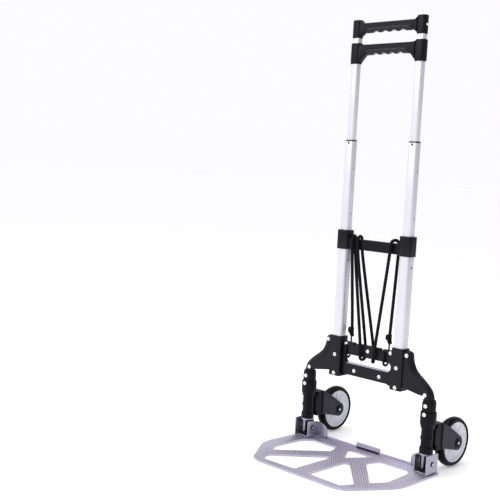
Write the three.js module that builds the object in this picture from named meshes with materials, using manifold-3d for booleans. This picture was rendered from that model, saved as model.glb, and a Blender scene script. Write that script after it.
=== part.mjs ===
// Folding hand truck: twin telescoping masts on a black frame, a hinged toe plate, two wheels on
// forks that swing round the legs, and a bungee cord laced over the frame.
// Millimetres, +Z up, +X to the truck's left-right, the toe plate reaching forward to -Y.
// Shapes are drawn with the masts and legs on the plane Y = 0 and the floor at Z = 0; the group is
// then moved along Y so that its origin lies under the middle of the whole truck.

import * as THREE from "three";
import { mergeVertices } from "three/addons/utils/BufferGeometryUtils.js";
import Module from "manifold-3d";

const wasm = await Module();
wasm.setup();

// ---------------------------------------------------------------- driving dimensions
const GAP = 0.3; // clearance between pieces that rest on each other
const SLIDE_PLAY = 0.4; // clearance round a mast that slides

// Masts: three telescoping stages, each a rounded rectangle across X by Y
const MAST_X = 89;
const WALL = 1.2;
const LOWER = { width: 27.5, depth: 23, radius: 6, bottom: 178.5, top: 517 };
const MIDDLE = { width: 24, depth: 19, radius: 5.5, bottom: 461, top: 728.2 };
const UPPER = { width: 20, depth: 16, radius: 5, bottom: 681, top: 999.5 };
const MID_RIM_TOP = 731;

// Collars and crossbar at the top of the lower masts
const COLLAR = { width: 34, depth: 27, radius: 7, bottom: 476, top: 521 };
const CROSSBAR = { front: -8, back: 7.5, bottom: 477, top: 503, radius: 4 };

// Brackets that clamp the foot of each mast, and the frame between them
const BRACKET = { width: 31.5, depth: 28, radius: 3, bottom: 173, top: 269 };
const CROSS_FRAME = { front: -4, back: 8, bottom: 180, top: 258 };
const SLOT = { halfWidth: 66, tip: 69, bottom: 208, top: 229, chamfer: 2.5 };
const NOTCH = { x: 37.5, width: 6, depth: 7 };

// Legs: shoulder tube, sleeves, the fork's hub and the foot, stacked on one vertical axis
const LEG_X = 174;
const SHOULDER_R = 11.5;
const BEND_PLAY = 1; // room for the shoulder tube's bend inside its sleeve
const GUSSET = { front: -10, back: -5 };
const LEG_R = 10;
const BORE_R = 10.3;
const SLEEVE_TOP = 168;
const SLEEVE_JOINT = 142;
const HUB_TOP = 105;
const HUB_BOTTOM = 64;
const FOOT_TOP = 49;
const UPPER_SLEEVE_R = 15.5;
const LOWER_SLEEVE_R = 18;
const HUB_R = 13.5;
const LEG_COLLAR_R = 15.5;

// Toe plate and its hinge
const PLATE_T = 5;
const PLATE_REAR = 24;
const PLATE_FRONT = -239;
const RIM_HEIGHT = 9;
const LIP = { halfWidth: 35, height: 18, thick: 3 };
const HINGE_Z = 27;
const HINGE_PIN_R = 3;
const HINGE_BORE_R = 3.3;
const PIN_HEAD = { r: 5.5, thick: 2 };
const YOKE = { inner: 16.3, outer: 19, front: -23, rear: 20.7, top: 49, base: 7.5, flange: 51 };
const FOOT_SWING_R = 19.2;
const FOOT_HALF_WIDTH = 11;
const CLIP_T = 3.5;
const SPRING_ROD = { r: 4, bottom: 16, y: -9 };

// Wheels and their forks
const WHEEL_R = 57;
const WHEEL_Y = 103;
const TYRE_W = 24;
const TYRE_INNER_R = 46.5;
const AXLE_R = 4;
const AXLE_HEAD_R = 7;
const BEARING_R = 9;
const FORK_INNER = 13.5;
const FORK_OUTER = 17;
const BOSS_R = 17;
const FORK_BLOCK_REAR = 45;
const AXLE_END = 19.2;

// Handles
const TOP_HANDLE = { postWidth: 24, depth: 19, bottom: 964.5, top: 1006, barBottom: 975, barTop: 998.5 };
const RELEASE_HANDLE = { postWidth: 26, depth: 21, bottom: 906, top: 953.5, barBottom: 925, barTop: 949.5 };
const HANDLE_WEB = 12;
const GRIP_WAVES = 4;
const WAVE_DEPTH = 2.2;
const STEPS_PER_WAVE = 4;
const RELEASE_ROD = { r: 2.5, bottom: 700, top: 945 };

// Bungee cord, its end ferrules and its hooks
const CORD_R = 3.8;
const CORD_SIDES = 8;
const FERRULE = { r: 6, bottom: 270, top: 294, leftX: -61, rightX: 49, y: 10.5 };
const HOOK_R = 2;
const HOOK_BEND_R = 9;

// The cord's route, by hand: from the left ferrule up in front of the crossbar and over it, down
// and under the cross frame, up, over, down behind, under, up, over, and down to the right ferrule
const CORD_ROUTE = [
  [-61, 10.5, 294.3], [-60.8, 9, 312], [-58, -6.5, 430], [-57, -12.3, 478],
  [-57.5, -12.5, 496.5], [-59.5, -9.5, 505.7], [-63, -0.25, 509.2], [-66, 9, 505.7], [-67.5, 12.2, 496.5],
  [-67.5, 12.2, 480], [-20, -10.2, 272], [-17.3, -10.3, 250],
  [-17, -10.3, 235.3], [-17, -7.6, 226], [-17.6, 2, 222.4], [-18.4, 11.5, 226], [-19, 14.3, 235.3],
  [-20, 13.5, 250], [-40, -11.6, 470],
  [-41.5, -12.5, 496.5], [-42.7, -9.5, 505.7], [-45.3, -0.25, 509.2], [-47.7, 9, 505.7], [-48.8, 12.2, 496.5],
  [-47.5, 12.2, 480], [1, 14.2, 258],
  [4.5, 14.2, 238], [7.5, 11.4, 226.4], [13, 2, 222.4], [18.6, -7.6, 226], [22, -10.3, 236.5],
  [25, -10.5, 262], [50, -12.3, 478],
  [51.5, -12.5, 496.5], [52.2, -9.5, 505.7], [54.5, -0.25, 509.2], [56.4, 9, 505.7], [57, 12.2, 496.5],
  [56.5, 12.2, 480], [49.5, 11, 312], [49, 10.5, 294.3],
];

// Rivet heads: a truncated cone, and where they sit
const RIVET = { r: 4.8, crown: 3.5, height: 1.6 };
const RIVET_Z = { bracket: 224, shoulder: 178.5, upperSleeve: 155.7, lowerSleeve: 137 };
const SHOULDER_RIVET_X = 168;

// The truck's own middle along Y, between the plate's front edge and the back of the wheels
const MIDDLE_Y = (PLATE_FRONT + WHEEL_Y + WHEEL_R) / 2;

// ---------------------------------------------------------------- materials
function material(color, roughness, metalness) {
  return new THREE.MeshStandardMaterial({ color, roughness, metalness });
}

const ANODISED = material(0xe6e4ee, 0.35, 0.6);
const ALUMINIUM = material(0xb9b9c6, 0.4, 0.8);
const STEEL = material(0xc8c9cf, 0.3, 0.9);
const COATED_STEEL = material(0x2a2a31, 0.55, 0.3);
const BLACK_PLASTIC = material(0x1e1e22, 0.5, 0);
const RIM_PLASTIC = material(0xc3c6d0, 0.5, 0);
const RUBBER = material(0x131315, 0.75, 0);
const CORD_FABRIC = material(0x16161a, 0.9, 0);

// ---------------------------------------------------------------- solids
function toSolid(geometry) {
  const bare = geometry.clone();
  bare.deleteAttribute("normal");
  bare.deleteAttribute("uv");
  const welded = mergeVertices(bare, 1e-4);
  return new wasm.Manifold(
    new wasm.Mesh({
      numProp: 3,
      vertProperties: new Float32Array(welded.attributes.position.array),
      triVerts: new Uint32Array(welded.index.array),
    }),
  );
}

function toGeometry(solid) {
  const mesh = solid.getMesh();
  const geometry = new THREE.BufferGeometry();
  geometry.setAttribute("position", new THREE.BufferAttribute(new Float32Array(mesh.vertProperties), 3));
  geometry.setIndex(new THREE.BufferAttribute(new Uint32Array(mesh.triVerts), 1));
  geometry.computeVertexNormals();
  return geometry;
}

function join(...geometries) {
  return toGeometry(geometries.map(toSolid).reduce((whole, next) => whole.add(next)));
}

function cut(geometry, ...tools) {
  return toGeometry(tools.map(toSolid).reduce((whole, tool) => whole.subtract(tool), toSolid(geometry)));
}

// The same piece for the other side of the truck
function mirrorX(geometry) {
  const bare = geometry.clone();
  bare.deleteAttribute("normal");
  bare.deleteAttribute("uv");
  const other = mergeVertices(bare, 1e-4);
  other.scale(-1, 1, 1);
  const index = other.index.array;
  for (let i = 0; i < index.length; i += 3) {
    [index[i], index[i + 1]] = [index[i + 1], index[i]];
  }
  other.computeVertexNormals();
  return other;
}

function roundedRect(width, depth, radius, target = new THREE.Shape()) {
  const x = width / 2 - radius;
  const y = depth / 2 - radius;
  target.absarc(x, y, radius, 0, Math.PI / 2);
  target.absarc(-x, y, radius, Math.PI / 2, Math.PI);
  target.absarc(-x, -y, radius, Math.PI, 1.5 * Math.PI);
  target.absarc(x, -y, radius, 1.5 * Math.PI, 2 * Math.PI);
  target.closePath();
  return target;
}

// A polygon with each corner rounded off, starting the round at "radius" from the corner
function roundedPolygon(points, radius, target = new THREE.Shape()) {
  const corners = points.map(([x, y]) => new THREE.Vector2(x, y));
  const count = corners.length;
  corners.forEach((corner, i) => {
    const before = corners[(i + count - 1) % count];
    const after = corners[(i + 1) % count];
    const back = Math.min(radius, 0.4 * corner.distanceTo(before));
    const on = Math.min(radius, 0.4 * corner.distanceTo(after));
    const start = corner.clone().lerp(before, back / corner.distanceTo(before));
    const end = corner.clone().lerp(after, on / corner.distanceTo(after));
    if (i === 0) {
      target.moveTo(start.x, start.y);
    } else {
      target.lineTo(start.x, start.y);
    }
    target.quadraticCurveTo(corner.x, corner.y, end.x, end.y);
  });
  target.closePath();
  return target;
}

function polygon(points) {
  return new THREE.Shape(points.map(([x, y]) => new THREE.Vector2(x, y)));
}

function circle(x, y, radius, target = new THREE.Shape()) {
  target.absarc(x, y, radius, 0, 2 * Math.PI);
  return target;
}

function extrude(shape, length, curveSegments = 2) {
  return new THREE.ExtrudeGeometry(shape, { depth: length, bevelEnabled: false, curveSegments });
}

// Extrusions of an outline in XY, in YZ and in XZ, between two positions on the third axis
function alongZ(shape, from, to, curveSegments) {
  return extrude(shape, to - from, curveSegments).translate(0, 0, from);
}

function alongX(shape, from, to, curveSegments) {
  const turn = new THREE.Matrix4().set(0, 0, 1, from, 1, 0, 0, 0, 0, 1, 0, 0, 0, 0, 0, 1);
  return extrude(shape, to - from, curveSegments).applyMatrix4(turn);
}

function alongY(shape, from, to, curveSegments) {
  const turn = new THREE.Matrix4().set(1, 0, 0, 0, 0, 0, -1, to, 0, 1, 0, 0, 0, 0, 0, 1);
  return extrude(shape, to - from, curveSegments).applyMatrix4(turn);
}

function ring(outer, inner, from, to) {
  const shape = circle(0, 0, outer);
  shape.holes.push(circle(0, 0, inner, new THREE.Path()));
  return alongZ(shape, from, to, 12);
}

function rodX(radius, from, to, y = 0, z = 0) {
  return new THREE.CylinderGeometry(radius, radius, to - from, 20)
    .rotateZ(Math.PI / 2)
    .translate((from + to) / 2, y, z);
}

function rodZ(radius, from, to, x = 0, y = 0) {
  return new THREE.CylinderGeometry(radius, radius, to - from, 20)
    .rotateX(Math.PI / 2)
    .translate(x, y, (from + to) / 2);
}

// A solid of revolution about the X axis; the profile's points are [radius, x]
function turnedX(profile, segments) {
  const points = profile.map(([radius, x]) => new THREE.Vector2(radius, x));
  return new THREE.LatheGeometry(points, segments).rotateZ(-Math.PI / 2);
}

// A bent round bar or tube through the points given, sampled evenly between them
function bentBar(points, radius, sides, stepsPerSpan) {
  const route = new THREE.CatmullRomCurve3(points.map((p) => new THREE.Vector3(...p)), false, "centripetal");
  route.getUtoTmapping = (u) => u;
  const section = polygon(
    Array.from({ length: sides }, (_, i) => {
      const angle = (2 * Math.PI * i) / sides;
      return [radius * Math.cos(angle), radius * Math.sin(angle)];
    }),
  );
  const steps = stepsPerSpan * (points.length - 1);
  return new THREE.ExtrudeGeometry(section, { extrudePath: route, steps, bevelEnabled: false });
}

function hollow(stage) {
  const { width, depth, radius } = stage;
  const shape = roundedRect(width, depth, radius);
  shape.holes.push(roundedRect(width - 2 * WALL, depth - 2 * WALL, radius - WALL, new THREE.Path()));
  return alongZ(shape, stage.bottom, stage.top);
}

// The space a mast stage takes up, with "play" all round, used as a cutting tool
function mastSpace(stage, play, from, to) {
  return alongZ(roundedRect(stage.width + 2 * play, stage.depth + 2 * play, stage.radius), from, to);
}

// ---------------------------------------------------------------- masts
const lowerTube = () => hollow(LOWER);
const midTube = () => hollow(MIDDLE);
const upperTube = () => hollow(UPPER);

function midRim() {
  const shape = roundedRect(MIDDLE.width, MIDDLE.depth, MIDDLE.radius);
  shape.holes.push(roundedRect(UPPER.width + 0.6, UPPER.depth + 0.6, UPPER.radius, new THREE.Path()));
  return alongZ(shape, MIDDLE.top + GAP, MID_RIM_TOP);
}

function collar() {
  const { width, depth, radius, bottom, top } = COLLAR;
  const block = alongZ(roundedRect(width, depth, radius), bottom, top);
  const seat = mastSpace(LOWER, GAP, bottom - 1, LOWER.top + GAP);
  const mouth = mastSpace(MIDDLE, SLIDE_PLAY, LOWER.top, top + 1);
  return cut(block, seat, mouth);
}

function crossbar() {
  const depth = CROSSBAR.back - CROSSBAR.front;
  const end = MAST_X - COLLAR.width / 2 - GAP;
  const bar = alongX(roundedRect(depth, CROSSBAR.top - CROSSBAR.bottom, CROSSBAR.radius), -end, end);
  return bar.translate(0, (CROSSBAR.front + CROSSBAR.back) / 2, (CROSSBAR.bottom + CROSSBAR.top) / 2);
}

// ---------------------------------------------------------------- brackets and cross frame
function bracket() {
  const { width, depth, radius, bottom, top } = BRACKET;
  const block = alongZ(roundedRect(width, depth, radius), bottom, top);
  return cut(block, mastSpace(LOWER, GAP, LOWER.bottom - GAP, top + 1));
}

function crossFrame() {
  const { bottom, top } = CROSS_FRAME;
  const end = MAST_X - BRACKET.width / 2 - GAP;
  const toe = bottom - 4;
  const outline = [[-end, toe], [-end + 10, bottom], [end - 10, bottom], [end, toe], [end, top]];
  for (const side of [1, -1]) {
    const near = side * NOTCH.x + NOTCH.width / 2;
    const far = side * NOTCH.x - NOTCH.width / 2;
    const floor = top - NOTCH.depth;
    outline.push([near, top], [near, floor], [far, floor], [far, top]);
  }
  outline.push([-end, top]);
  const shape = polygon(outline);
  const { tip } = SLOT;
  const neck = SLOT.halfWidth - SLOT.chamfer;
  const low = (SLOT.bottom + SLOT.top) / 2 - 2;
  const high = low + 5;
  const slot = [[-neck, SLOT.bottom], [neck, SLOT.bottom], [tip, low], [tip, high]];
  slot.push([neck, SLOT.top], [-neck, SLOT.top], [-tip, high], [-tip, low]);
  shape.holes.push(roundedPolygon(slot, 5, new THREE.Path()));
  return alongY(shape, CROSS_FRAME.front, CROSS_FRAME.back);
}

// ---------------------------------------------------------------- shoulders and legs
// Right-hand shoulder: an S-bent tube with a flat gusset filling its inside
function shoulder() {
  const centre = [[112.5, 267], [112.5, 256], [115.5, 240], [123, 224], [134, 212], [150, 200]];
  centre.push([162, 190], [170.5, 180], [LEG_X, 168], [LEG_X, 155], [LEG_X, SLEEVE_JOINT + GAP]);
  const tube = bentBar(centre.map(([x, z]) => [x, 0, z]), SHOULDER_R, 16, 2);
  const web = [[100, 264], [112, 264], [114, 240], [122, 224], [134, 212], [150, 200]];
  web.push([162, 190], [169, 178], [163, 175], [150, 175.5], [130, 180], [100, 183.5]);
  const gusset = alongY(polygon(web), GUSSET.front, GUSSET.back);
  const bracketFace = MAST_X + BRACKET.width / 2 + GAP;
  const inside = new THREE.BoxGeometry(40, 60, 200).translate(bracketFace - 20, 0, 220);
  return cut(join(tube, gusset), inside);
}

const upperSleeve = () => ring(UPPER_SLEEVE_R, SHOULDER_R + BEND_PLAY, SLEEVE_JOINT + GAP, SLEEVE_TOP);
const lowerSleeve = () => ring(LOWER_SLEEVE_R, BORE_R, HUB_TOP + GAP, SLEEVE_JOINT);
const legTube = () => rodZ(LEG_R, FOOT_TOP + GAP, SLEEVE_JOINT);
const legCollar = () => ring(LEG_COLLAR_R, BORE_R, FOOT_TOP + GAP, HUB_BOTTOM);

// The foot's side outline is an arc about the hinge, so that the plate can swing under it
function legFoot() {
  const halfDepth = 13;
  const rodBack = -4.6;
  const rodBottom = 15.5;
  const top = FOOT_TOP - CLIP_T - GAP;
  const corner = Math.acos(halfDepth / FOOT_SWING_R);
  const shape = new THREE.Shape();
  shape.moveTo(halfDepth, top);
  shape.lineTo(rodBack, top);
  shape.lineTo(rodBack, rodBottom);
  shape.lineTo(-halfDepth, rodBottom);
  shape.absarc(0, HINGE_Z, FOOT_SWING_R, Math.PI + corner, 2 * Math.PI - corner);
  shape.closePath();
  shape.holes.push(circle(0, HINGE_Z, HINGE_BORE_R, new THREE.Path()));
  return alongX(shape, -FOOT_HALF_WIDTH, FOOT_HALF_WIDTH, 6);
}

// A bright washer under the leg's collar with the fold's spring rod hanging from it
function footClip() {
  const washer = rodZ(LEG_COLLAR_R, FOOT_TOP - CLIP_T, FOOT_TOP);
  const rod = rodZ(SPRING_ROD.r, SPRING_ROD.bottom, FOOT_TOP - 1, 0, SPRING_ROD.y);
  return join(washer, rod);
}

// ---------------------------------------------------------------- toe plate and hinge
function toePlate() {
  const half = [[110, PLATE_FRONT], [134, -229], [192, -138], [199, -110], [197, PLATE_REAR]];
  const outline = [...half, ...half.map(([x, y]) => [-x, y]).reverse()];
  const shape = roundedPolygon(outline, 10);
  const side = [[163, -122], [157, -37], [138, -15.5], [63.5, -16.5], [51, -52], [142, -158]];
  const front = [[127, -190], [112, -220], [19, -217], [19, -92], [32, -87.5]];
  for (const hole of [side, front]) {
    shape.holes.push(roundedPolygon(hole, 6, new THREE.Path()));
    const other = hole.map(([x, y]) => [-x, y]).reverse();
    shape.holes.push(roundedPolygon(other, 6, new THREE.Path()));
  }
  shape.holes.push(roundedPolygon([[37, -5.5], [-37, -5.5], [0, -66.5]], 5, new THREE.Path()));
  const sheet = alongZ(shape, 0, PLATE_T, 2);
  const rimWidth = 300;
  const rim = new THREE.BoxGeometry(rimWidth, LIP.thick, RIM_HEIGHT - 1);
  rim.translate(0, PLATE_REAR - LIP.thick / 2, (RIM_HEIGHT + 1) / 2);
  const lip = new THREE.BoxGeometry(2 * LIP.halfWidth, LIP.thick, LIP.height - 2);
  lip.translate(0, PLATE_REAR - LIP.thick / 2, (LIP.height + 2) / 2);
  return join(sheet, rim, lip);
}

// Right-hand yoke: a low inner ear with a flange across its rear, a tall outer ear and a base
function hingeYoke() {
  const { inner, outer, front, rear, top, base, flange } = YOKE;
  const floor = PLATE_T + GAP;
  const ear = (points, radius) => {
    const shape = roundedPolygon(points, radius);
    shape.holes.push(circle(0, HINGE_Z, HINGE_BORE_R, new THREE.Path()));
    return shape;
  };
  const tall = ear([[front, floor], [rear, floor], [rear, top], [front, top]], 4);
  const low = ear([[front + 6, floor], [rear, floor], [rear, top - 9], [front + 6, top - 4]], 3);
  const outerEar = alongX(tall, inner, outer, 6);
  const innerEar = alongX(low, -outer, -inner, 6);
  const floorPlate = new THREE.BoxGeometry(2 * outer, 30, base - floor).translate(0, 0, (base + floor) / 2);
  const lobe = [[-inner, floor], [-inner, top - 9], [-flange + 16, top - 12], [-flange + 2, top - 20]];
  lobe.push([-flange, floor + 14], [-flange, floor]);
  const wall = alongY(polygon(lobe), rear - (outer - inner), rear);
  return join(outerEar, innerEar, floorPlate, wall);
}

function hingePin() {
  const head = YOKE.outer + GAP;
  const end = head + PIN_HEAD.thick;
  const profile = [[0, -end], [PIN_HEAD.r, -end], [PIN_HEAD.r, -head], [HINGE_PIN_R, -head]];
  profile.push([HINGE_PIN_R, head], [PIN_HEAD.r, head], [PIN_HEAD.r, end], [0, end]);
  return turnedX(profile, 20).translate(0, 0, HINGE_Z);
}

// ---------------------------------------------------------------- wheels and forks
function wheelFork() {
  const hub = ring(HUB_R, BORE_R, HUB_BOTTOM + GAP, HUB_TOP);
  const sleeveBack = LOWER_SLEEVE_R + 0.5;
  const blockOutline = [[11.5, HUB_BOTTOM + 2], [17, HUB_BOTTOM + 2], [17, 53], [FORK_BLOCK_REAR, 53]];
  blockOutline.push([FORK_BLOCK_REAR, 113], [sleeveBack, 113], [sleeveBack, HUB_TOP], [11.5, HUB_TOP]);
  const block = alongX(polygon(blockOutline), -FORK_INNER - 1, FORK_INNER + 1);
  const arm = [[38, 112], [38, 54], [46, 54], [71, 47.5]];
  const boss = { y: WHEEL_Y, z: WHEEL_R };
  for (let degrees = 250; degrees <= 425; degrees += 17.5) {
    const angle = (degrees * Math.PI) / 180;
    arm.push([boss.y + BOSS_R * Math.cos(angle), boss.z + BOSS_R * Math.sin(angle)]);
  }
  arm.push([67, 99.5], [50, 108]);
  const armShape = polygon(arm);
  armShape.holes.push(circle(boss.y, boss.z, AXLE_R + GAP, new THREE.Path()));
  const outerArm = alongX(armShape, FORK_INNER, FORK_OUTER, 6);
  const innerArm = alongX(armShape, -FORK_OUTER, -FORK_INNER, 6);
  return join(hub, block, outerArm, innerArm);
}

function axle() {
  const face = FORK_OUTER + GAP;
  const profile = [[0, -AXLE_END], [AXLE_HEAD_R, -AXLE_END], [AXLE_HEAD_R, -face], [AXLE_R, -face]];
  profile.push([AXLE_R, face], [AXLE_HEAD_R, face], [AXLE_HEAD_R, AXLE_END], [0, AXLE_END]);
  return turnedX(profile, 20);
}

function tyre() {
  const half = TYRE_W / 2;
  const profile = [[TYRE_INNER_R, -half + 1], [WHEEL_R - 5, -half], [WHEEL_R - 1.4, -half + 4]];
  profile.push([WHEEL_R, -4], [WHEEL_R, 4], [WHEEL_R - 1.4, half - 4], [WHEEL_R - 5, half]);
  profile.push([TYRE_INNER_R, half - 1], [TYRE_INNER_R, -half + 1]);
  return turnedX(profile, 32);
}

function rim() {
  const edge = TYRE_W / 2 - 2;
  const rimR = TYRE_INNER_R - GAP;
  const hubFace = FORK_INNER - 0.7;
  const bore = BEARING_R + GAP;
  const profile = [[bore, -hubFace], [15, -hubFace], [17, -5], [rimR - 4, -5]];
  profile.push([rimR - 3, -edge], [rimR, -edge], [rimR, edge], [rimR - 3, edge]);
  profile.push([rimR - 4, 5], [17, 5], [15, hubFace], [bore, hubFace], [bore, -hubFace]);
  return turnedX(profile, 32);
}

function bearing() {
  const half = FORK_INNER - 1;
  const inner = AXLE_R + GAP;
  const profile = [[inner, -half], [BEARING_R, -half], [BEARING_R, half], [inner, half], [inner, -half]];
  return turnedX(profile, 20);
}

// ---------------------------------------------------------------- handles
// A grip bar with finger waves underneath, between two posts that take the masts
function handle(size, space) {
  const inner = MAST_X - size.postWidth / 2;
  const outer = MAST_X + size.postWidth / 2;
  const right = [[inner, size.barTop], [inner, size.top], [outer, size.top], [outer, size.bottom]];
  right.push([inner, size.bottom], [inner - HANDLE_WEB, size.barBottom]);
  const waves = [];
  const gripHalf = inner - HANDLE_WEB;
  const count = GRIP_WAVES * STEPS_PER_WAVE;
  for (let i = 1; i < count; i += 1) {
    const x = gripHalf - (2 * gripHalf * i) / count;
    const turn = (2 * Math.PI * i) / STEPS_PER_WAVE;
    waves.push([x, size.barBottom + (WAVE_DEPTH / 2) * (1 - Math.cos(turn))]);
  }
  const left = right.map(([x, z]) => [-x, z]).reverse();
  const block = alongY(polygon([...right, ...waves, ...left].reverse()), -size.depth / 2, size.depth / 2);
  return cut(block, ...[-MAST_X, MAST_X].map((x) => space().translate(x, 0, 0)));
}

function topHandle() {
  const socket = () => mastSpace(UPPER, GAP, TOP_HANDLE.bottom - 1, UPPER.top + GAP);
  return handle(TOP_HANDLE, socket);
}

function releaseHandle() {
  const through = () => mastSpace(UPPER, SLIDE_PLAY, RELEASE_HANDLE.bottom - 1, RELEASE_HANDLE.top + 1);
  return handle(RELEASE_HANDLE, through);
}

const releaseRod = () => rodZ(RELEASE_ROD.r, RELEASE_ROD.bottom, RELEASE_ROD.top);

// ---------------------------------------------------------------- bungee cord
function bungeeCord() {
  return bentBar(CORD_ROUTE, CORD_R, CORD_SIDES, 2);
}

function ferrule() {
  const { bottom, top, r } = FERRULE;
  const profile = [[0, bottom], [r - 2, bottom], [r, bottom + 6], [r, top - 8], [r - 1.5, top], [0, top]];
  const points = profile.map(([radius, z]) => new THREE.Vector2(radius, z));
  return new THREE.LatheGeometry(points, 16).rotateX(Math.PI / 2);
}

// A wire J: down behind the cross frame's upper bar, under it, and up in front
function hook() {
  const centreY = FERRULE.y - HOOK_BEND_R;
  const centreZ = SLOT.top + 1;
  const tipZ = CROSS_FRAME.top - 4;
  const points = [[0, FERRULE.y, FERRULE.bottom - GAP], [0, FERRULE.y, centreZ + 15]];
  for (let degrees = 0; degrees >= -180; degrees -= 30) {
    const angle = (degrees * Math.PI) / 180;
    points.push([0, centreY + HOOK_BEND_R * Math.cos(angle), centreZ + HOOK_BEND_R * Math.sin(angle)]);
  }
  points.push([0, centreY - HOOK_BEND_R, centreZ + 12], [0, centreY - HOOK_BEND_R, tipZ]);
  return bentBar(points, HOOK_R, CORD_SIDES, 1);
}

// ---------------------------------------------------------------- rivets
function rivet(x, face, z) {
  const head = new THREE.CylinderGeometry(RIVET.r, RIVET.crown, RIVET.height, 14);
  return head.translate(x, face - GAP - RIVET.height / 2, z);
}

// ---------------------------------------------------------------- the truck
const truck = new THREE.Group();
truck.position.y = -MIDDLE_Y;

function add(name, geometry, look, x = 0, y = 0, z = 0) {
  const mesh = new THREE.Mesh(geometry, look);
  mesh.name = name;
  mesh.position.set(x, y, z);
  truck.add(mesh);
}

add("middle_crossbar", crossbar(), BLACK_PLASTIC);
add("cross_frame", crossFrame(), COATED_STEEL);
add("toe_plate", toePlate(), ALUMINIUM);
add("top_handle", topHandle(), BLACK_PLASTIC);
add("release_handle", releaseHandle(), BLACK_PLASTIC);
add("bungee_cord", bungeeCord(), CORD_FABRIC);

for (const [side, sign] of [["left", -1], ["right", 1]]) {
  const handed = (geometry) => (sign > 0 ? geometry : mirrorX(geometry));
  const mastX = sign * MAST_X;
  const legX = sign * LEG_X;
  add(`lower_tube_${side}`, lowerTube(), ANODISED, mastX);
  add(`mid_tube_${side}`, midTube(), ANODISED, mastX);
  add(`upper_tube_${side}`, upperTube(), ANODISED, mastX);
  add(`mid_rim_${side}`, midRim(), BLACK_PLASTIC, mastX);
  add(`release_rod_${side}`, releaseRod(), STEEL, mastX);
  add(`collar_${side}`, collar(), BLACK_PLASTIC, mastX);
  add(`bracket_${side}`, bracket(), COATED_STEEL, mastX);
  add(`bracket_rivet_${side}`, rivet(0, -BRACKET.depth / 2, RIVET_Z.bracket), STEEL, mastX);

  add(`shoulder_${side}`, handed(shoulder()), COATED_STEEL);
  const shoulderRivet = rivet(0, -SHOULDER_R, RIVET_Z.shoulder);
  add(`shoulder_rivet_${side}`, shoulderRivet, STEEL, sign * SHOULDER_RIVET_X);
  add(`upper_sleeve_${side}`, upperSleeve(), BLACK_PLASTIC, legX);
  add(`lower_sleeve_${side}`, lowerSleeve(), BLACK_PLASTIC, legX);
  add(`leg_tube_${side}`, legTube(), COATED_STEEL, legX);
  add(`leg_collar_${side}`, legCollar(), BLACK_PLASTIC, legX);
  add(`leg_foot_${side}`, legFoot(), BLACK_PLASTIC, legX);
  add(`foot_clip_${side}`, footClip(), STEEL, legX);
  const upperRivet = rivet(0, -UPPER_SLEEVE_R, RIVET_Z.upperSleeve);
  const lowerRivet = rivet(0, -LOWER_SLEEVE_R, RIVET_Z.lowerSleeve);
  add(`upper_leg_rivet_${side}`, upperRivet, STEEL, legX);
  add(`lower_leg_rivet_${side}`, lowerRivet, STEEL, legX);

  add(`hinge_yoke_${side}`, handed(hingeYoke()), ALUMINIUM, legX);
  add(`hinge_pin_${side}`, hingePin(), STEEL, legX);

  add(`wheel_fork_${side}`, wheelFork(), BLACK_PLASTIC, legX);
  add(`axle_${side}`, axle(), STEEL, legX, WHEEL_Y, WHEEL_R);
  add(`tyre_${side}`, tyre(), RUBBER, legX, WHEEL_Y, WHEEL_R);
  add(`rim_${side}`, rim(), RIM_PLASTIC, legX, WHEEL_Y, WHEEL_R);
  add(`bearing_${side}`, bearing(), STEEL, legX, WHEEL_Y, WHEEL_R);

  const hookX = sign > 0 ? FERRULE.rightX : FERRULE.leftX;
  add(`ferrule_${side}`, ferrule(), BLACK_PLASTIC, hookX, FERRULE.y);
  add(`hook_${side}`, hook(), STEEL, hookX);
}

export default truck;
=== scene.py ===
"""Folding hand truck: the visible pieces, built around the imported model's frame."""

import math

import bmesh
import bpy
from mathutils import Matrix, Vector


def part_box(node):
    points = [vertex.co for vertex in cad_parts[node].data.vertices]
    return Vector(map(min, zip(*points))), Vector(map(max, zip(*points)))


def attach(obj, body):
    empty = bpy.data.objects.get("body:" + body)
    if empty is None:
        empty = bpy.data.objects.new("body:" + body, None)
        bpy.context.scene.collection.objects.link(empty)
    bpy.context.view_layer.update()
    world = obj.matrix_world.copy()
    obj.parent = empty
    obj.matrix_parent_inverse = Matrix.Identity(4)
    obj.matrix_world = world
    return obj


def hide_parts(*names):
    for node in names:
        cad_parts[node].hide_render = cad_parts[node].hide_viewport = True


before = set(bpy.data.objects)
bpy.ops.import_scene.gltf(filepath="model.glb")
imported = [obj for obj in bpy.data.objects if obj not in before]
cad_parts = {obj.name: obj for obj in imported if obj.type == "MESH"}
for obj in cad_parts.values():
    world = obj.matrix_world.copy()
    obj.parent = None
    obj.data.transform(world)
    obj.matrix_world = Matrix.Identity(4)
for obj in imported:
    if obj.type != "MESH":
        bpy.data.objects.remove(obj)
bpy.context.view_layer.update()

# Shapes are drawn in millimetres with the masts and legs on the plane y = 0 and the floor at z = 0.
MM = 0.001
SIDES = (("left", -1), ("right", 1))
AXIS_Y = sum(corner.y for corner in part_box("leg_tube_right")) / 2
CREASE = 32  # edges that turn by more degrees than this stay sharp


def node_box(node):
    """Lowest and highest corners of a CAD node, in millimetres from the leg plane."""
    low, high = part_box(node)
    shift = Vector((0, AXIS_Y, 0))
    return (low - shift) / MM, (high - shift) / MM


def middle(node):
    low, high = node_box(node)
    return (low + high) / 2


MAST_X = middle("lower_tube_right").x
LEG_X = middle("leg_tube_right").x
WHEEL_Y = middle("tyre_right").y
WHEEL_Z = middle("tyre_right").z
HINGE_Z = middle("hinge_pin_right").z


# ---------------------------------------------------------------- camera
CAMERA_PLACE = (1.2935, AXIS_Y - 1.7282, 0.6628)
CAMERA_AZIMUTH = math.radians(44.46)
CAMERA_TILT = math.radians(5.241)
CAMERA_ROLL = math.radians(3.0)
CAMERA_LENS = 67.31
SENSOR_WIDTH = 36


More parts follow.
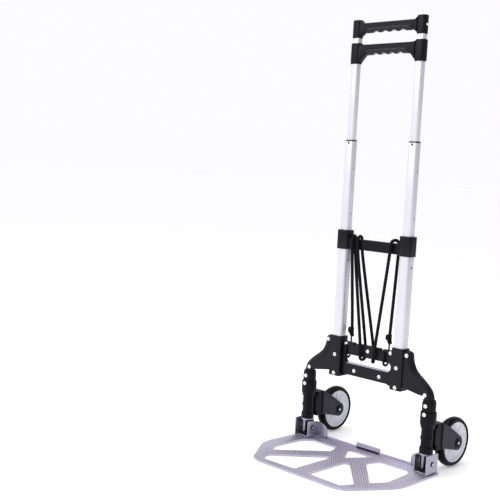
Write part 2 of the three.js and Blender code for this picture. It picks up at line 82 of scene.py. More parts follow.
def make_camera():
    data = bpy.data.cameras.new("camera")
    data.lens = CAMERA_LENS
    data.sensor_width = SENSOR_WIDTH
    camera = bpy.data.objects.new("camera", data)
    bpy.context.scene.collection.objects.link(camera)
    turn = Matrix.Rotation(CAMERA_AZIMUTH, 4, "Z") @ Matrix.Rotation(math.pi / 2 - CAMERA_TILT, 4, "X")
    camera.matrix_world = Matrix.Translation(CAMERA_PLACE) @ turn @ Matrix.Rotation(CAMERA_ROLL, 4, "Z")
    bpy.context.scene.camera = camera


make_camera()


# ---------------------------------------------------------------- mesh helpers
def finish_mesh(name, mesh, crease=CREASE):
    """Merge, orient and smooth a mesh drawn in leg-plane millimetres, and put it in the scene."""
    work = bmesh.new()
    work.from_mesh(mesh)
    bmesh.ops.remove_doubles(work, verts=work.verts, dist=0.0005)
    bmesh.ops.recalc_face_normals(work, faces=work.faces)
    work.to_mesh(mesh)
    work.free()
    mesh.transform(Matrix.Translation((0, AXIS_Y, 0)) @ Matrix.Scale(MM, 4))
    mesh.polygons.foreach_set("use_smooth", [True] * len(mesh.polygons))
    mesh.set_sharp_from_angle(angle=math.radians(crease))
    piece = bpy.data.objects.new(name, mesh)
    bpy.context.scene.collection.objects.link(piece)
    return piece


def from_lists(name, points, faces, crease=CREASE):
    mesh = bpy.data.meshes.new(name)
    mesh.from_pydata([tuple(p) for p in points], [], faces)
    return finish_mesh(name, mesh, crease)


def merged(name, pieces):
    """Several pieces as one object."""
    work = bmesh.new()
    for piece in pieces:
        work.from_mesh(piece.data)
        bpy.data.objects.remove(piece)
    mesh = bpy.data.meshes.new(name)
    work.to_mesh(mesh)
    work.free()
    whole = bpy.data.objects.new(name, mesh)
    bpy.context.scene.collection.objects.link(whole)
    return whole


def carve(piece, *tools, how="DIFFERENCE", crease=CREASE):
    """Cut piece by the tools, or keep only what lies in them."""
    for tool in tools:
        cutter = piece.modifiers.new("carve", "BOOLEAN")
        cutter.operation = how
        cutter.solver = "EXACT"
        cutter.use_self = True
        cutter.object = tool
        bpy.context.view_layer.update()
        shape = bpy.data.meshes.new_from_object(piece.evaluated_get(bpy.context.evaluated_depsgraph_get()))
        piece.modifiers.clear()
        piece.data = shape
        bpy.data.objects.remove(tool)
    piece.data.polygons.foreach_set("use_smooth", [True] * len(piece.data.polygons))
    piece.data.set_sharp_from_angle(angle=math.radians(crease))
    return piece


def arc(cx, cy, radius, start, end, count):
    """Points on an arc, angles in degrees."""
    turns = [math.radians(start + (end - start) * i / count) for i in range(count + 1)]
    return [(cx + radius * math.cos(t), cy + radius * math.sin(t)) for t in turns]


def rounded_rect(width, depth, radius, cx=0.0, cy=0.0, steps=7):
    x = width / 2 - radius
    y = depth / 2 - radius
    points = []
    for i, (sx, sy) in enumerate(((1, 1), (-1, 1), (-1, -1), (1, -1))):
        points += arc(cx + sx * x, cy + sy * y, radius, 90 * i, 90 * i + 90, steps)
    return points


def round_corners(points, radius, steps=5, closed=True):
    """The polygon or line with each corner eased by a curve that starts "radius" away from it."""
    result = []
    count = len(points)
    for i, corner in enumerate(points):
        if not closed and i in (0, count - 1):
            result.append(tuple(corner))
            continue
        here = Vector(corner)
        before = Vector(points[i - 1])
        after = Vector(points[(i + 1) % count])
        start = here.lerp(before, min(radius / (before - here).length, 0.45))
        end = here.lerp(after, min(radius / (after - here).length, 0.45))
        for k in range(steps + 1):
            t = k / steps
            result.append(tuple((1 - t) ** 2 * start + 2 * t * (1 - t) * here + t**2 * end))
    return result


PLACE = {
    "X": Matrix(((0, 0, 1, 0), (1, 0, 0, 0), (0, 1, 0, 0), (0, 0, 0, 1))),
    "Y": Matrix(((1, 0, 0, 0), (0, 0, -1, 0), (0, 1, 0, 0), (0, 0, 0, 1))),
    "Z": Matrix.Identity(4),
}


def slab(name, facing, outline, low, high, bevel, holes=(), steps=3, crease=CREASE):
    """A flat piece with rounded edges. Its outline lies in YZ, XZ or XY when it faces X, Y or Z."""
    curve = bpy.data.curves.new(name, "CURVE")
    curve.dimensions = "2D"
    curve.fill_mode = "BOTH"
    curve.extrude = (high - low) / 2 - bevel
    curve.bevel_depth = bevel
    curve.bevel_resolution = steps
    curve.offset = -bevel
    for loop in (outline, *holes):
        spline = curve.splines.new("POLY")
        spline.points.add(len(loop) - 1)
        spline.use_cyclic_u = True
        for point, (u, v) in zip(spline.points, loop):
            point.co = (u, v, 0, 1)
    holder = bpy.data.objects.new(name, curve)
    mesh = bpy.data.meshes.new_from_object(holder)
    bpy.data.objects.remove(holder)
    bpy.data.curves.remove(curve)
    centre = {"X": ((low + high) / 2, 0, 0), "Y": (0, (low + high) / 2, 0), "Z": (0, 0, (low + high) / 2)}
    mesh.transform(Matrix.Translation(centre[facing]) @ PLACE[facing])
    return finish_mesh(name, mesh, crease)


def turned(name, axis, profile, centre, segments=48, crease=CREASE):
    """A solid of revolution. Profile points are (radius, place along the axis)."""
    points = []
    faces = []
    count = len(profile)
    for i in range(segments):
        angle = 2 * math.pi * i / segments
        for radius, along in profile:
            u = radius * math.cos(angle)
            v = radius * math.sin(angle)
            points.append({"X": (along, u, v), "Y": (u, along, v), "Z": (u, v, along)}[axis])
    closed = profile[0][0] > 0 and profile[-1][0] > 0
    spans = count if closed else count - 1
    for i in range(segments):
        a = i * count
        b = ((i + 1) % segments) * count
        for k in range(spans):
            n = (k + 1) % count
            faces.append((a + k, a + n, b + n, b + k))
    moved = [Vector(p) + Vector(centre) for p in points]
    return from_lists(name, moved, faces, crease)


def catmull_rom(points, per_span):
    """Centripetal curve through the points, with per_span steps in each span."""
    control = [Vector(p) for p in points]
    control = [2 * control[0] - control[1]] + control + [2 * control[-1] - control[-2]]
    result = []
    for i in range(1, len(control) - 2):
        p0, p1, p2, p3 = control[i - 1 : i + 3]
        t1 = math.sqrt((p1 - p0).length)
        t2 = t1 + math.sqrt((p2 - p1).length)
        t3 = t2 + math.sqrt((p3 - p2).length)
        for k in range(per_span):
            t = t1 + (t2 - t1) * k / per_span
            a1 = p0 * ((t1 - t) / t1) + p1 * (t / t1)
            a2 = p1 * ((t2 - t) / (t2 - t1)) + p2 * ((t - t1) / (t2 - t1))
            a3 = p2 * ((t3 - t) / (t3 - t2)) + p3 * ((t - t2) / (t3 - t2))
            b1 = a1 * ((t2 - t) / t2) + a2 * (t / t2)
            b2 = a2 * ((t3 - t) / (t3 - t1)) + a3 * ((t - t1) / (t3 - t1))
            result.append(b1 * ((t2 - t) / (t2 - t1)) + b2 * ((t - t1) / (t2 - t1)))
    result.append(control[-2])
    return result


def resampled(path, step):
    """The path's points at even steps along it."""
    result = [path[0]]
    left = step
    for start, end in zip(path, path[1:]):
        span = (end - start).length
        done = 0.0
        while span - done >= left:
            done += left
            result.append(start.lerp(end, done / span))
            left = step
        left -= span - done
    if (result[-1] - path[-1]).length > 0.3 * step:
        result.append(path[-1])
    return result


def swept(name, path, radius, sides=20, crease=CREASE):
    """A round bar along a path; radius is a number, or a function of (place 0..1, angle, length)."""
    points = []
    faces = []
    side = None
    travelled = 0.0
    for i, here in enumerate(path):
        ahead = path[min(i + 1, len(path) - 1)] - path[max(i - 1, 0)]
        ahead.normalize()
        if side is None:
            side = ahead.orthogonal().normalized()
        side = (side - ahead * side.dot(ahead)).normalized()
        up = ahead.cross(side)
        if i:
            travelled += (here - path[i - 1]).length
        for k in range(sides):
            angle = 2 * math.pi * k / sides
            reach = radius(i / (len(path) - 1), angle, travelled) if callable(radius) else radius
            points.append(here + side * (reach * math.cos(angle)) + up * (reach * math.sin(angle)))
    for i in range(len(path) - 1):
        for k in range(sides):
            a = i * sides + k
            b = i * sides + (k + 1) % sides
            faces.append((a, b, b + sides, a + sides))
    faces.append(tuple(range(sides)))
    faces.append(tuple(range((len(path) - 1) * sides, len(path) * sides)))
    return from_lists(name, points, faces, crease)


def lofted_x(name, stations, sides=36, crease=CREASE):
    """A bar along X; each station is (x, lowest z, highest z, depth, corner radius)."""
    points = []
    for x, low, high, depth, radius in stations:
        radius = min(radius, depth / 2 - 0.01, (high - low) / 2 - 0.01)
        loop = rounded_rect(depth, high - low, radius, 0, (low + high) / 2, sides // 4 - 1)
        points += [(x, y, z) for y, z in loop]
    ring = len(points) // len(stations)
    faces = []
    for i in range(len(stations) - 1):
        for k in range(ring):
            a = i * ring + k
            b = i * ring + (k + 1) % ring
            faces.append((a, b, b + ring, a + ring))
    faces.append(tuple(range(ring)))
    faces.append(tuple(range((len(stations) - 1) * ring, len(stations) * ring)))
    return from_lists(name, points, faces, crease)


def dressed(piece, body, look, slot, *nodes):
    """Give a piece its material and its body, and hide the CAD nodes it stands for. The slot is not used.
    """
    piece.data.materials.clear()
    piece.data.materials.append(look)
    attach(piece, body)
    if nodes:
        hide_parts(*nodes)
    return piece


# ---------------------------------------------------------------- materials
class Look:
    """A principled material being put together from nodes."""

    def __init__(self, name, colour, roughness, metallic=0.0):
        self.material = bpy.data.materials.new(name)
        self.material.use_nodes = True
        self.nodes = self.material.node_tree.nodes
        self.links = self.material.node_tree.links
        self.shader = self.nodes["Principled BSDF"]
        self.colour = colour
        self.shader.inputs["Base Color"].default_value = (*colour, 1)
        self.shader.inputs["Roughness"].default_value = roughness
        self.shader.inputs["Metallic"].default_value = metallic
        self.roughness = roughness
        self.place = self.nodes.new("ShaderNodeTexCoord").outputs["Object"]
        self.normal = None

    def noise(self, scale, stretch=(1, 1, 1), detail=3.0, roughness=0.55):
        """Noise over the object's own coordinates, in metres; stretch lengthens its grain."""
        mapping = self.nodes.new("ShaderNodeMapping")
        mapping.inputs["Scale"].default_value = [1 / s for s in stretch]
        texture = self.nodes.new("ShaderNodeTexNoise")
        texture.inputs["Scale"].default_value = scale
        texture.inputs["Detail"].default_value = detail
        texture.inputs["Roughness"].default_value = roughness
        self.links.new(self.place, mapping.inputs["Vector"])
        self.links.new(mapping.outputs["Vector"], texture.inputs["Vector"])
        return texture.outputs["Fac"]

    def spread(self, source, low, high):
        """The source's usual range, 0.3 to 0.7, carried to low and high."""
        node = self.nodes.new("ShaderNodeMapRange")
        node.inputs["From Min"].default_value = 0.3
        node.inputs["From Max"].default_value = 0.7
        node.inputs["To Min"].default_value = low
        node.inputs["To Max"].default_value = high
        self.links.new(source, node.inputs["Value"])
        return node.outputs["Result"]

    def mottled(self, source, other, amount):
        """Base colour drifting towards another colour."""
        mix = self.nodes.new("ShaderNodeMix")
        mix.data_type = "RGBA"
        mix.inputs["A"].default_value = (*self.colour, 1)
        mix.inputs["B"].default_value = (*other, 1)
        self.links.new(self.spread(source, 0, amount), mix.inputs["Factor"])
        self.links.new(mix.outputs["Result"], self.shader.inputs["Base Color"])
        return self

    def uneven_gloss(self, source, swing):
        gloss = self.spread(source, self.roughness - swing, self.roughness + swing)
        self.links.new(gloss, self.shader.inputs["Roughness"])
        return self

    def bumped(self, source, height):
        """Relief of the given height in metres, added to any relief before it."""
        bump = self.nodes.new("ShaderNodeBump")
        bump.inputs["Strength"].default_value = 1.0
        bump.inputs["Distance"].default_value = height
        self.links.new(source, bump.inputs["Height"])
        if self.normal is not None:
            self.links.new(self.normal, bump.inputs["Normal"])
        self.normal = bump.outputs["Normal"]
        self.links.new(self.normal, self.shader.inputs["Normal"])
        return self

    def gloss(self, level):
        self.shader.inputs["Specular IOR Level"].default_value = level
        return self


def brushed_metal(name, colour, roughness, metallic, stretch, shade):
    look = Look(name, colour, roughness, metallic)
    grain = look.noise(1400, stretch, 2)
    clouds = look.noise(18, (1, 1, 1), 3)
    look.mottled(clouds, shade, 0.6)
    look.uneven_gloss(grain, 0.05)
    look.bumped(grain, 0.000008)
    return look.material


def moulded(name, colour, roughness, grain_scale=1500, grain_height=0.00004, shade=1.6, gloss=0.3):
    look = Look(name, colour, roughness).gloss(gloss)
    grain = look.noise(grain_scale, (1, 1, 1), 2)
    clouds = look.noise(30, (1, 1, 1), 4)
    look.mottled(clouds, tuple(min(1, c * shade) for c in colour), 0.7)
    look.uneven_gloss(clouds, 0.05)
    look.bumped(grain, grain_height)
    return look.material


def powder_coat(name, colour):
    look = Look(name, colour, 0.44).gloss(0.2)
    peel = look.noise(700, (1, 1, 1), 2)
    clouds = look.noise(25, (1, 1, 1), 3)
    look.mottled(clouds, tuple(c * 1.5 for c in colour), 0.6)
    look.uneven_gloss(clouds, 0.05)
    look.bumped(peel, 0.00006)
    return look.material


def braided(name, colour, fleck):
    look = Look(name, colour, 0.85).gloss(0.15)
    threads = look.noise(2600, (1, 1, 2), 1)
    look.mottled(threads, fleck, 0.5)
    look.bumped(threads, 0.00015)
    return look.material


ANODISED = brushed_metal("anodised_tube", (0.73, 0.725, 0.77), 0.34, 0.35, (1, 1, 40), (0.67, 0.665, 0.72))
PLATE_METAL = brushed_metal("plate_metal", (0.53, 0.505, 0.615), 0.30, 0.7, (1, 1, 1), (0.45, 0.43, 0.53))
YOKE_METAL = brushed_metal("yoke_metal", (0.44, 0.43, 0.52), 0.30, 0.8, (1, 1, 12), (0.36, 0.35, 0.43))
BRIGHT_STEEL = brushed_metal("bright_steel", (0.66, 0.66, 0.69), 0.24, 0.9, (1, 1, 6), (0.52, 0.52, 0.56))
RIVET_METAL = brushed_metal("rivet_metal", (0.93, 0.93, 0.95), 0.32, 0.15, (1, 1, 1), (0.86, 0.86, 0.90))
COATED_STEEL = powder_coat("coated_steel", (0.0065, 0.006, 0.010))
BLACK_PLASTIC = moulded("black_plastic", (0.0045, 0.004, 0.0065), 0.42, gloss=0.13)
COLLAR_PLASTIC = moulded("collar_plastic", (0.005, 0.0042, 0.0075), 0.2, 1500, 0.00001, gloss=0.22)
HANDLE_PLASTIC = moulded("handle_plastic", (0.006, 0.0052, 0.009), 0.36, gloss=0.14)
GRIP_RUBBER = moulded("grip_rubber", (0.008, 0.007, 0.011), 0.28, 1100, 0.00004, gloss=0.3)
# Lighter charcoal than the black hub: painted light, the light falling on the fork arms' sides put into
# their colour.
FORK_ARM_PAINTED_LIGHT = moulded("fork_plastic", (0.024, 0.0215, 0.034), 0.46, gloss=0.2)
RIM_PLASTIC = moulded("rim_plastic", (0.76, 0.775, 0.84), 0.38, 900, 0.00003, 1.1)
TYRE_RUBBER = moulded("tyre_rubber", (0.0035, 0.003, 0.0045), 0.2, 800, 0.00001, 1.6, 0.07)
BRAID = braided("cord_braid", (0.004, 0.004, 0.005), (0.014, 0.014, 0.018))


# ---------------------------------------------------------------- bungee cord
CORD_R = 3.8
CORD_ROUTE = [
    (-61, 10.5, 294.3), (-60.8, 9, 312), (-58, -6.5, 430), (-57, -12.3, 478),
    (-57.5, -12.5, 496.5), (-59.5, -9.5, 505.7), (-63, -0.25, 509.2), (-66, 9, 505.7),
    (-67.5, 12.2, 496.5), (-67.5, 12.2, 480), (-20, -10.2, 272), (-17.3, -10.3, 250),
    (-17, -10.3, 235.3), (-17, -7.6, 226), (-17.6, 2, 222.4), (-18.4, 11.5, 226), (-19, 14.3, 235.3),
    (-20, 13.5, 250), (-40, -11.6, 470),
    (-41.5, -12.5, 496.5), (-42.7, -9.5, 505.7), (-45.3, -0.25, 509.2), (-47.7, 9, 505.7),
    (-48.8, 12.2, 496.5), (-47.5, 12.2, 480), (1, 14.2, 258),
    (4.5, 14.2, 238), (7.5, 11.4, 226.4), (13, 2, 222.4), (18.6, -7.6, 226), (22, -10.3, 236.5),
    (25, -10.5, 262), (50, -12.3, 478),
    (51.5, -12.5, 496.5), (52.2, -9.5, 505.7), (54.5, -0.25, 509.2), (56.4, 9, 505.7),
    (57, 12.2, 496.5), (56.5, 12.2, 480), (49.5, 11, 312), (49, 10.5, 294.3),
]
CORD_STEP = 1.1
BRAID_STRANDS = 4
BRAID_PITCH = 9.0
BRAID_INSET = 0.32
BRAID_RELIEF = 0.16


def braid_radius(place, angle, travelled):
    """Crossing strands that stand a little proud of the sheath."""
    turn = 2 * math.pi * travelled / BRAID_PITCH
    right_hand = abs(math.sin((BRAID_STRANDS * angle + turn) / 2))
    left_hand = abs(math.sin((BRAID_STRANDS * angle - turn) / 2))
    return CORD_R - BRAID_INSET + BRAID_RELIEF * (right_hand + left_hand)


def make_cord():
    path = resampled(catmull_rom(CORD_ROUTE, 24), CORD_STEP)
    cord = swept("bungee", path, braid_radius, sides=16, crease=60)
    dressed(cord, "frame", BRAID, "cord_fabric", "bungee_cord")
    fittings = []
    for side, _ in SIDES:
        fittings += [make_ferrule(side), make_hook(side)]


CLAMP_RIDGES = 4
CLAMP_PLAIN = 3  # the unribbed length at each end of the clamp
TAB_REACH = 3.5
BALL_R = 4.8


def make_ferrule(side):
    """The moulded clamp on the cord's end: a ribbed body with a locking tab and a ball below."""
    low, high = node_box(f"ferrule_{side}")
    centre = (low + high) / 2
    reach = (high.x - low.x) / 2
    length = high.z - low.z
    profile = [(0, 0), (0.45 * reach, 0), (0.62 * reach, 2.0)]
    pitch = (length - 2 * CLAMP_PLAIN) / CLAMP_RIDGES
    for i in range(CLAMP_RIDGES):
        start = CLAMP_PLAIN + i * pitch
        profile.append((0.66 * reach, start))
        profile += [(0.92 * reach, start + 0.35 * pitch), (0.92 * reach, start + 0.7 * pitch)]
    profile += [(0.72 * reach, length - 2.6), (0.68 * reach, length - 0.6)]
    profile += [(0.56 * reach, length), (0, length)]
    body = turned("body", "Z", profile, (centre.x, centre.y, low.z), 28, 25)

    outline = [(low.x - TAB_REACH, low.z + 10), (low.x + 1, low.z + 7), (centre.x, low.z + 8)]
    outline += [(centre.x, high.z - 1), (low.x, high.z - 2), (low.x - TAB_REACH, high.z - 5)]
    tab = slab("tab", "Y", round_corners(outline, 1.4, 3), centre.y - 4, centre.y + 4, 1.2)

    ball_line = [(0, 0.1)] + arc(0, BALL_R + 0.1, BALL_R, -80, 80, 10) + [(0, 2 * BALL_R + 0.1)]
    ball = turned("ball", "Z", ball_line, (high.x - 4.0, centre.y, low.z - 1), 24)

    clamp = merged(f"end_clamp_{side}", [body, tab, ball])
    return dressed(clamp, "frame", BLACK_PLASTIC, "black_plastic", f"ferrule_{side}")


HOOK_TIP = [(0, -3), (2.1, -2.8), (2.8, -2), (2.8, 1.6), (2.1, 2.8), (0, 3.2)]
HOOK_LEG = 20
COAT_R = 2.8


def coat_radius(place, angle, travelled):
    """The coating's thickness, drawn in at both of its ends."""
    return COAT_R - 0.5 * (2 * place - 1) ** 8


def make_hook(side):
    """A coated wire hook: behind the cross frame's upper bar, under it and up in front."""
    low, high = node_box(f"hook_{side}")
    x = (low.x + high.x) / 2
    wire = (high.x - low.x) / 2
    back = high.y - wire
    front = low.y + wire
    bend = (back - front) / 2
    centre_z = low.z + wire + bend
    line = [Vector((x, back, high.z + t)) for t in (0, -3, -6)]
    line += [Vector((x, back, centre_z + 8))]
    line += [Vector((x, y, z)) for y, z in arc((back + front) / 2, centre_z, bend, 0, -180, 16)]
    line += [Vector((x, front, centre_z + 12)), Vector((x, front, centre_z + HOOK_LEG))]
    hook = swept(f"wire_{side}", line, wire, 14)
    cap = turned("cap", "Z", HOOK_TIP, (x, front, centre_z + HOOK_LEG), 18)
    coat = [Vector((x, y, z)) for y, z in arc((back + front) / 2, centre_z, bend, -45, -180, 16)]
    coat += [Vector((x, front, centre_z + t)) for t in (3, 6, 9)]
    sleeve = swept("sleeve", coat, coat_radius, 18)
    dressed(merged(f"wire_coat_{side}", [cap, sleeve]), "frame", BLACK_PLASTIC, "black_plastic")
    return dressed(hook, "frame", COATED_STEEL, "steel", f"hook_{side}")


make_cord()


# ---------------------------------------------------------------- masts
TUBE_WALL = 1.2
TUBE_CORNER = {"lower": 6.0, "mid": 5.5, "upper": 5.0}
LOCK_HOLES = {"lower": ((451.5, 2.6),), "mid": ((560.3, 1.9), (664.3, 1.7)), "upper": ()}  # z, radius
LOCK_BUTTON_Z = 724.4
LOCK_BUTTON = [(0, -1.3), (1.6, -1.1), (2.5, -0.3), (2.6, 0.5), (0, 0.5)]
FLUTE_PITCH = 5.2
FLUTE_DEPTH = 0.7
FLUTE_HALF = 0.9
FLUTE_STEP = 0.5
COLLAR_SEAT = (28.1, 23.6, 6)  # the lower mast's place in the collar: width, depth, corner
CROSSBAR_EDGE = 0.6


def make_tube(stage, side, body):
    node = f"{stage}_tube_{side}"
    low, high = node_box(node)
    centre = (low + high) / 2
    width = high.x - low.x
    depth = high.y - low.y
    corner = TUBE_CORNER[stage]
    outline = rounded_rect(width, depth, corner, centre.x, centre.y)
    inner = (width - 2 * TUBE_WALL, depth - 2 * TUBE_WALL, corner - TUBE_WALL)
    bore = rounded_rect(*inner, centre.x, centre.y)
    tube = slab(f"{stage}_mast_{side}", "Z", outline, low.z, high.z, 0.3, [bore], 2)
    for z, radius in LOCK_HOLES[stage]:
        profile = [(0, -width), (radius, -width), (radius, width), (0, width)]
        carve(tube, turned("drill", "X", profile, (centre.x, centre.y, z), 24))
    dressed(tube, body, ANODISED, "mast_tubes", node)


def clearance_bore(stage, side, gap):
    """The outline of a stage's tube with half the gap round it."""
    low, high = node_box(f"{stage}_tube_{side}")
    centre = (low + high) / 2
    return rounded_rect(high.x - low.x + gap, high.y - low.y + gap, TUBE_CORNER[stage], centre.x, centre.y)


def make_mid_rim(side):
    """The black bush at the middle stage's mouth, and the lock button just below it."""
    node = f"mid_rim_{side}"
    low, high = node_box(node)
    centre = (low + high) / 2
    outline = rounded_rect(high.x - low.x, high.y - low.y, TUBE_CORNER["mid"], centre.x, centre.y)
    bore = clearance_bore("upper", side, 0.5)
    rim = slab(f"mast_bush_{side}", "Z", outline, low.z, high.z, 0.5, [bore], 2)
    dressed(rim, "mid_stage", BLACK_PLASTIC, "black_plastic", node)
    tube_front = node_box(f"mid_tube_{side}")[0].y
    button = turned(f"lock_button_{side}", "Y", LOCK_BUTTON, (centre.x, tube_front, LOCK_BUTTON_Z), 24)
    dressed(button, "mid_stage", BLACK_PLASTIC, "black_plastic")


def fluted_outline(low, high, corner):
    """A rounded rectangle whose corners and sides carry fine upright grooves."""
    centre = (low + high) / 2
    base = rounded_rect(high.x - low.x, high.y - low.y, corner, centre.x, centre.y, 24)
    loop = [Vector((x, y)) for x, y in base]
    even = resampled(loop + [loop[0]], FLUTE_STEP)[:-1]
    points = []
    for i, here in enumerate(even):
        ahead = (even[(i + 1) % len(even)] - even[i - 1]).normalized()
        inward = Vector((-ahead.y, ahead.x))
        travel = (i * FLUTE_STEP) % FLUTE_PITCH
        groove = FLUTE_DEPTH * max(0.0, 1 - abs(travel - FLUTE_PITCH / 2) / FLUTE_HALF)
        points.append(tuple(here + inward * groove))
    return points


def make_collar(side):
    node = f"collar_{side}"
    low, high = node_box(node)
    centre = (low + high) / 2
    bore = clearance_bore("mid", side, 0.6)
    flutes = fluted_outline(low, high, 7)
    body = slab(f"mast_collar_{side}", "Z", flutes, low.z, high.z, 0.9, [bore], 3, 40)
    seat_top = node_box(f"lower_tube_{side}")[1].z + 0.3
    seat = rounded_rect(*COLLAR_SEAT, centre.x, centre.y)
    carve(body, slab("seat", "Z", seat, low.z - 5, seat_top, 0.1, steps=1), crease=40)
    dressed(body, "frame", COLLAR_PLASTIC, "black_plastic", node)


def make_crossbar():
    low, high = node_box("middle_crossbar")
    stations = []
    for x in (low.x, low.x + 4, low.x + 9, high.x - 9, high.x - 4, high.x):
        inset = 0.0 if abs(x) > high.x - 6 else CROSSBAR_EDGE
        stations.append((x, low.z + inset, high.z - inset, high.y - low.y - 2 * inset, 3.8))
    bar = lofted_x("crossbar", stations, 40)
    bar.data.transform(Matrix.Translation((0, (low.y + high.y) / 2 * MM, 0)))
    dressed(bar, "frame", BLACK_PLASTIC, "black_plastic", "middle_crossbar")


for side, _ in SIDES:
    make_tube("lower", side, "frame")
    make_tube("mid", side, "mid_stage")
    make_tube("upper", side, "upper_stage")
    make_mid_rim(side)
    make_collar(side)
make_crossbar()


# ---------------------------------------------------------------- handles
MAST_TOP = node_box("upper_tube_right")[1].z
GRIP_WAVES = 4
WAVE_DEPTH = 3.4
GRIP_RIBS = (4.0, 7.5, 11.0)  # their places from each end of the grip
BAR_STEPS = 120
UPPER_MAST_SPACE = (20.8, 16.8, 5.2)  # the upper mast's room in a socket: width, depth, corner

# Levels of a handle: its sockets' low and high ends, then its bar's low and high sides.
TOP_LEVELS = (964.5, 1006, 975, 998.5)
RELEASE_LEVELS = (906, 953.5, 925, 949.5)


def wave(x, half):
    """Finger waves along the underside, from 0 at a crest to 1 in a hollow."""
    return 0.5 - 0.5 * math.cos(2 * math.pi * GRIP_WAVES * (x + half) / (2 * half))


def make_handle(name, node, body, levels, post, grip_half, through):
    """Two mast sockets and the bar between them, which spreads into the sockets at its ends."""
    post_low, post_high, bar_low, bar_high = levels
    width, depth = post
    inner = MAST_X - width / 2
    stations = []
    for i in range(BAR_STEPS + 1):
        x = (inner + 1) * (2 * i / BAR_STEPS - 1)
        edge = max(0.0, (abs(x) - grip_half) / (inner - grip_half))
        drop = (bar_low - post_low - 3) * min(edge, 1.0) ** 1.4
        lift = WAVE_DEPTH * min(1.0, max(0.0, (grip_half - 4 - abs(x)) / 6))
        rise = (post_high - bar_high - 2) * max(0.0, min(1.0, (edge - 0.35) / 0.65)) ** 2
        bar_depth = depth - 3.0 + 1.6 * min(edge, 1.0)
        stations.append((x, bar_low + 1.4 + lift - drop, bar_high + rise, bar_depth, 6.0))
    parts = [lofted_x("bar", stations, 36, 40)]
    for _, sign in SIDES:
        outline = rounded_rect(width, depth, 8.2, sign * MAST_X, 0)
        post_piece = slab("post", "Z", outline, post_low, post_high, 2.2, steps=5)
        space_top = post_high + 5 if through else MAST_TOP + 0.3
        space = rounded_rect(*UPPER_MAST_SPACE, sign * MAST_X, 0)
        parts.append(carve(post_piece, slab("space", "Z", space, post_low - 5, space_top, 0.1, steps=1)))
    dressed(merged(name, parts), body, HANDLE_PLASTIC, "grip_plastic", node)


def make_grip(name, body, levels, grip_half, depth):
    """The soft sleeve round the bar's lower part, with ribs at its ends and waves between them."""
    bar_low, bar_high = levels[2:]
    waved_half = grip_half - 12
    stations = []
    for i in range(BAR_STEPS + 1):
        x = -grip_half + 2 * grip_half * i / BAR_STEPS
        end = min(1.0, (grip_half - abs(x)) / 2.0)
        ribs = 0.0
        for place in GRIP_RIBS:
            ribs += 0.5 * max(0.0, 1 - abs(grip_half - abs(x) - place) / 1.1)
        waving = abs(x) < waved_half
        low = bar_low + (WAVE_DEPTH * wave(x, waved_half) if waving else 0)
        swell = end * (0.9 - ribs)
        stations.append((x, low, bar_high - 7 + 0.3 * end, depth - 2.2 + 2 * swell, 7.5))
    grip = lofted_x(name, stations, 36, 40)
    dressed(grip, body, GRIP_RUBBER, "grip_plastic")


make_handle("top_handle_body", "top_handle", "upper_stage", TOP_LEVELS, (24, 19), 64, False)
make_grip("top_grip", "upper_stage", TOP_LEVELS, 61, 17)
make_handle("release_handle_body", "release_handle", "release_grip", RELEASE_LEVELS, (26, 21), 58, True)
make_grip("release_soft_grip", "release_grip", RELEASE_LEVELS, 57, 19)


# ---------------------------------------------------------------- rivets
RIVET_R = 4.7
RIVET_DOME = [(0, 2.0), (0.35, 1.9), (0.7, 1.5), (0.92, 0.8), (1, 0), (1, -0.6), (0, -0.6)]


def make_rivet(name, body, place, nodes=(), axis="Y", outward=-1, radius=RIVET_R):
    """A domed rivet head on the face at place, standing out along the axis."""
    profile = [(radius * r, outward * t) for r, t in RIVET_DOME]
    head = turned(name, axis, profile, place, 28)
    dressed(head, body, RIVET_METAL, "rivet_metal", *nodes)


HANDLE_RIVET = (node_box("top_handle")[1].x - 0.1, 0, 985)
make_rivet("handle_head", "upper_stage", HANDLE_RIVET, axis="X", outward=1, radius=3.2)


# ---------------------------------------------------------------- brackets and cross frame
BRACKET_SPACE = (28.0, 23.6, 6)  # the lower mast's room in a bracket: width, depth, corner
BRACKET_RIVETS_Z = (224, 179.5)
SLOT = [(-61, 208), (61, 208), (66, 215), (67, 223), (61, 229), (-61, 229), (-67, 223), (-66, 215)]
# Outline of a light metal strip on the slot's lower edge: a painted highlight standing for the light on the
# bar's upward top face.
SLOT_PAINTED_HIGHLIGHT = [(-60, 207.6), (60, 207.6), (60, 209.4), (-60, 209.4)]
FRAME_TOP_RIVET = (64, 252.5)
FRAME_LOW_RIVET = (36.4, 192.4)
FRAME_MIDDLE_RIVET_Z = 245.3
NOTCH_X = 37.5


def make_bracket(side):
    node = f"bracket_{side}"
    low, high = node_box(node)
    centre = (low + high) / 2
    outline = rounded_rect(high.x - low.x, high.y - low.y, 2.6, centre.x, centre.y, 6)
    body = slab(f"mast_bracket_{side}", "Z", outline, low.z, high.z, 1.2, steps=3)
    seat_z = node_box(f"lower_tube_{side}")[0].z - 0.3
    space = rounded_rect(*BRACKET_SPACE, centre.x, centre.y)
    carve(body, slab("space", "Z", space, seat_z, high.z + 5, 0.1, steps=1), crease=40)
    dressed(body, "frame", COATED_STEEL, "coated_steel", node)
    upper_z, lower_z = BRACKET_RIVETS_Z
    make_rivet(f"bracket_head_{side}", "frame", (centre.x, low.y, upper_z), (f"bracket_rivet_{side}",))
    make_rivet(f"bracket_low_head_{side}", "frame", (centre.x, low.y, lower_z))


